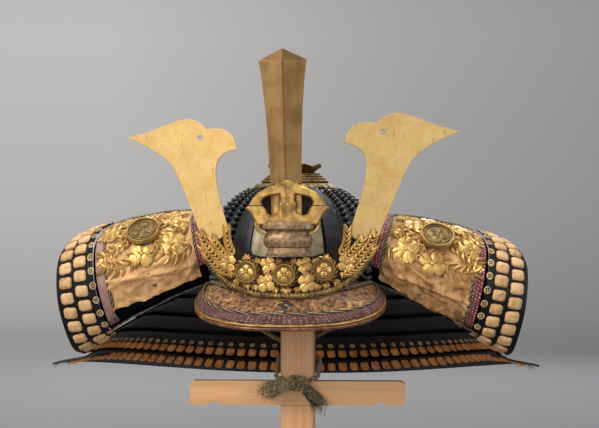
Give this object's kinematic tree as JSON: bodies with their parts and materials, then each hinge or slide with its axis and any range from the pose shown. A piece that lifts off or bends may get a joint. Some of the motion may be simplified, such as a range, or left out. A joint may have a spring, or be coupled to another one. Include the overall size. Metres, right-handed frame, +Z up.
{
  "type": "samurai helmet on a wooden stand",
  "caption": "Japanese armour helmet with a studded bowl, gilt horns and blade crest, leather visor, laced flaring neck guard and turned-back ends, resting on a plain wooden stand.",
  "frame": {"origin": "on the underside of the stand's base board, straight below the middle of the helmet", "axes": "+X to the wearer's left across the horns, the face looks along -Y, +Z up"},
  "size_m": [0.5494, 0.4214, 0.5275],
  "materials": {
    "gilt": "satin gilding, pitted with brown",
    "gilt_dark": "old gilding with a brown and purple patina",
    "silvered": "dull silver-gilt",
    "black_iron": "glossy black lacquer on iron",
    "black_lacquer": "black lacquered scales and lacing",
    "printed_leather": "tan, wrinkled and worn",
    "brown_leather": "printed, worn and cracked",
    "red_leather": "matt, with white dots",
    "silk_cord": "braided silk",
    "wood": "bare, straight grained"
  },
  "bodies": {
    "root": {"stand_base": "wood", "stand_post": "wood", "stand_crossbar": "wood", "stand_head": "wood", "helmet_bowl": "black_iron", "bowl_front_plate": "silvered", "crown_mount": "gilt_dark", "crown_flower": "gilt_dark", "visor": "brown_leather", "visor_rim": "gilt", "neck_guard_lame_1": "black_lacquer", "neck_guard_lame_2": "black_lacquer", "neck_guard_lame_3": "black_lacquer", "neck_guard_lame_4": "black_lacquer", "neck_guard_lame_5": "black_lacquer", "turnback_board_left": "black_lacquer", "turnback_leather_left": "printed_leather", "turnback_edging_left": "red_leather", "turnback_openwork_left": "gilt", "turnback_medallion_left": "gilt_dark", "turnback_board_right": "black_lacquer", "turnback_leather_right": "printed_leather", "turnback_edging_right": "red_leather", "turnback_openwork_right": "gilt", "turnback_medallion_right": "gilt_dark", "crest_holder": "gilt", "holder_medallion_left": "gilt", "holder_medallion_centre": "gilt", "holder_medallion_right": "gilt", "crest_horn_left": "gilt", "crest_horn_right": "gilt", "crest_blade": "gilt_dark", "crest_hilt": "gilt_dark", "chin_cord_left": "silk_cord", "cord_ring_left": "gilt_dark", "chin_cord_right": "silk_cord", "cord_ring_right": "gilt_dark", "chin_cord_knot": "silk_cord", "chin_cord_tassel_left": "silk_cord", "chin_cord_tassel_right": "silk_cord"}
  },
  "joints": []
}
